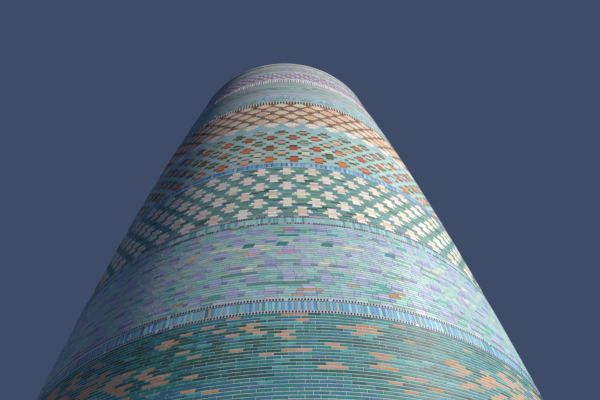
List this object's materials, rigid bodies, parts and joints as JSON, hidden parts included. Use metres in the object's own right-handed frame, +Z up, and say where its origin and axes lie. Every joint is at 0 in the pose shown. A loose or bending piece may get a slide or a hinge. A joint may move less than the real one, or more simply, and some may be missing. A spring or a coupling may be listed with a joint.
{
  "type": "unfinished round brick minaret",
  "caption": "Squat, thick, tapering round brick minaret, open at the top, faced with bands of glazed brick and patterned tile.",
  "frame": {"origin": "centre of the foot, at ground level", "axes": "+Z up along the shaft; the front, which the picture shows, faces -Y"},
  "size_m": [14.238, 14.238, 26.88],
  "materials": {
    "bare_brick": "unglazed fired brick with clay mortar joints, matte",
    "teal_glazed_brick": "glossy glaze, lost in patches",
    "bead_tile": "white glaze with black squares",
    "striped_tile": "glossy upright stripes",
    "mint_and_lilac_brick": "satin glaze",
    "turquoise_tile": "glossy glaze",
    "star_brick": "cream stars on deep teal",
    "blue_tile": "glossy glaze",
    "cross_brick": "satin glaze with russet and olive crosses",
    "lilac_tile": "satin glaze",
    "lattice_brick": "cream lozenges in a brown lattice, satin",
    "dentil_brick": "dark and white upright bricks",
    "pale_turquoise_brick": "satin glaze with fine streaks",
    "toothed_tile": "white upright bricks on grey",
    "ornament_tile": "lilac ground with pale interlace",
    "rim_brick": "grey-green satin glaze",
    "coping_plaster": "pale gypsum mortar, matte"
  },
  "bodies": {
    "root": {"brick_wall_right": "bare_brick", "brick_wall_back_right": "bare_brick", "brick_wall_back": "bare_brick", "brick_wall_back_left": "bare_brick", "brick_wall_left": "bare_brick", "brick_wall_front_left": "bare_brick", "brick_wall_front": "bare_brick", "brick_wall_front_right": "bare_brick", "glazed_courses": "teal_glazed_brick", "bead_row_1": "bead_tile", "striped_tile_band": "striped_tile", "bead_row_2": "bead_tile", "diamond_courses": "mint_and_lilac_brick", "bead_row_3": "bead_tile", "turquoise_fillet": "turquoise_tile", "bead_row_4": "bead_tile", "star_courses": "star_brick", "pale_edge_row": "bead_tile", "blue_tile_band": "blue_tile", "cross_courses": "cross_brick", "lilac_fillet": "lilac_tile", "lattice_courses": "lattice_brick", "dentil_row": "dentil_brick", "streaked_courses": "pale_turquoise_brick", "toothed_row": "toothed_tile", "ornament_frieze": "ornament_tile", "lower_rim_band": "rim_brick", "upper_rim_band": "rim_brick", "coping": "coping_plaster"}
  },
  "joints": []
}
